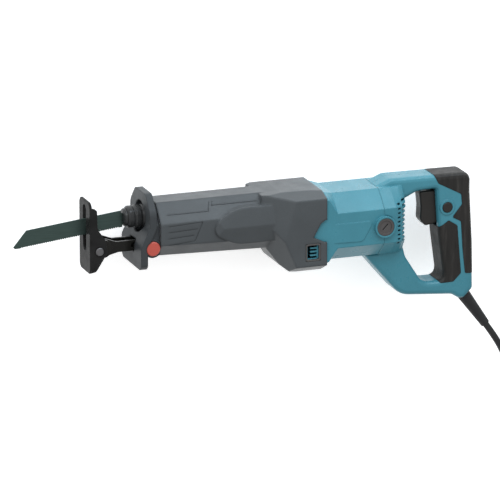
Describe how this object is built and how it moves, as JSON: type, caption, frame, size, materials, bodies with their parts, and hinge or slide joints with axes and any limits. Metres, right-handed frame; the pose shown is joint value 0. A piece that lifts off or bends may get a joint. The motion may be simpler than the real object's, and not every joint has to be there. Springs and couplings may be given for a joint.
{
  "type": "reciprocating saw",
  "caption": "Corded reciprocating saw with D-shaped handle, keyless blade clamp, tilting shoe on a sliding bar and a coiled mains cord with its plug.",
  "frame": {"origin": "centre of the saw's footprint as it lies on its right side, on the surface that it lies on", "axes": "+X from the blade's tip to the handle's rear end, +Y from the cord end of the handle to the top of the saw, +Z out of the saw's left side, upwards as it lies"},
  "size_m": [0.7253, 0.2917, 0.093],
  "materials": {
    "body_plastic": "teal glass-filled nylon, fine moulded grain, satin",
    "cover_rubber": "dark grey moulded cover, satin, fine grain",
    "guard_plastic": "dark grey guard, satin",
    "cast_aluminium": "die-cast, lightly sand-textured",
    "black_rubber": "matt black rubber",
    "grip_rubber": "soft black over-moulded grip, matt",
    "bronze": "oil-filled sintered bronze",
    "blade_steel": "dark blued tool steel, brushed along the blade",
    "ground_steel": "ground and hardened steel",
    "dark_steel": "black oxide, lightly worn on the edges",
    "spring_steel": "drawn spring wire",
    "shoe_steel": "black-coated pressed steel, worn on its front face",
    "bar_steel": "black oxide steel bar, half gloss",
    "fastener_steel": "zinc-plated steel",
    "red_plastic": "red moulded plastic",
    "gear_steel": "cut and hardened gear steel",
    "bearing_steel": "bearing steel with dark seals",
    "laminated_steel": "stacked steel laminations",
    "copper": "varnished copper wire and bars",
    "brass": "plain brass",
    "carbon": "pressed carbon",
    "fan_plastic": "black nylon",
    "cap_plastic": "dark brown-black phenolic plastic, satin",
    "trigger_plastic": "black nylon, satin",
    "cord_rubber": "black rubber flex, matt",
    "tie_plastic": "black woven strap",
    "plug_rubber": "black moulded plug, satin"
  },
  "bodies": {
    "housing": {"barrel_cover": "cover_rubber", "bearing_plate": "cast_aluminium", "bearing_spacer": "cast_aluminium", "brush_cap_left": "cap_plastic", "brush_cap_right": "cap_plastic", "brush_holders": "brass", "brush_springs": "spring_steel", "carbon_brushes": "carbon", "coil_tie": "tie_plastic", "cord_clamp": "trigger_plastic", "cord_clamp_screws": "fastener_steel", "cord_coil": "cord_rubber", "cord_guard": "black_rubber", "cord_tail": "cord_rubber", "crank_bearings": "bearing_steel", "field_coils": "copper", "field_stator": "laminated_steel", "front_bearing": "bearing_steel", "front_bush": "bronze", "front_guard": "guard_plastic", "gear_housing": "cast_aluminium", "handle_screws": "fastener_steel", "handle_shell_left": "body_plastic", "handle_shell_right": "body_plastic", "lock_on_spring": "spring_steel", "motor_housing": "body_plastic", "plug": "plug_rubber", "plug_pins": "brass", "plunger_seal": "black_rubber", "power_cord": "cord_rubber", "rear_bearing": "bearing_steel", "rear_bush": "bronze", "shoe_lock_spring": "spring_steel", "soft_grip_left": "grip_rubber", "soft_grip_right": "grip_rubber", "switch_body": "trigger_plastic"},
    "plunger": {"plunger_rod": "ground_steel", "blade_lock_pin": "ground_steel", "saw_blade": "blade_steel", "clamp_cap": "dark_steel", "clamp_spring": "spring_steel", "clamp_retaining_ring": "spring_steel"},
    "sleeve": {"clamp_sleeve": "dark_steel"},
    "crank": {"crank_gear": "gear_steel", "crank_spindle": "ground_steel", "crank_pin_and_roller": "ground_steel", "counterweight": "gear_steel"},
    "armature": {"armature_shaft": "ground_steel", "armature_core": "laminated_steel", "armature_windings": "copper", "commutator": "copper", "cooling_fan": "fan_plastic"},
    "shoe_bar": {"shoe_guide_bar": "bar_steel", "shoe_pivot_pin": "fastener_steel"},
    "shoe": {"shoe_plate": "shoe_steel"},
    "shoe_button": {"shoe_lock_button": "red_plastic"},
    "trigger_body": {"trigger": "trigger_plastic"},
    "lock_button": {"lock_on_button": "trigger_plastic"}
  },
  "joints": [
    {"name": "plunger_slide", "type": "slide", "parent": "housing", "child": "plunger", "axis": [1, 0, 0], "range_m": [-0.015, 0.015]},
    {"name": "sleeve_twist", "type": "hinge", "parent": "plunger", "child": "sleeve", "pos_m": [-0.1331, 0.0716, 0.0465], "axis": [1, 0, 0], "range_deg": [0, 60], "stiffness_Nm_per_rad": 0.25, "springref_deg": -11.46},
    {"name": "armature_spin", "type": "hinge", "parent": "housing", "child": "armature", "pos_m": [0.1109, 0.0431, 0.0465], "axis": [1, 0, 0], "continuous": true},
    {"name": "crank_spin", "type": "hinge", "parent": "housing", "child": "crank", "pos_m": [0.0389, 0.0431, 0.0465], "axis": [0, 1, 0], "continuous": true},
    {"name": "shoe_bar_slide", "type": "slide", "parent": "housing", "child": "shoe_bar", "axis": [1, 0, 0], "range_m": [-0.01, 0.01]},
    {"name": "shoe_tilt", "type": "hinge", "parent": "shoe_bar", "child": "shoe", "pos_m": [-0.1901, 0.0403, 0.0465], "axis": [0, 0, 1], "range_deg": [-15, 15]},
    {"name": "shoe_button_press", "type": "slide", "parent": "housing", "child": "shoe_button", "axis": [0, 0, -1], "range_m": [0, 0.003], "stiffness_N_per_m": 1500, "springref_m": -0.001, "deforming": ["shoe_lock_spring"]},
    {"name": "trigger_pull", "type": "slide", "parent": "housing", "child": "trigger_body", "axis": [1, 0, 0], "range_m": [0, 0.007], "stiffness_N_per_m": 900, "springref_m": -0.002},
    {"name": "lock_button_press", "type": "slide", "parent": "housing", "child": "lock_button", "axis": [0, 0, -1], "range_m": [0, 0.002], "stiffness_N_per_m": 1200, "springref_m": -0.001, "deforming": ["lock_on_spring"]}
  ],
  "couplings": [
    {"joint": "crank_spin", "follows": "armature_spin", "ratio": -0.25}
  ]
}
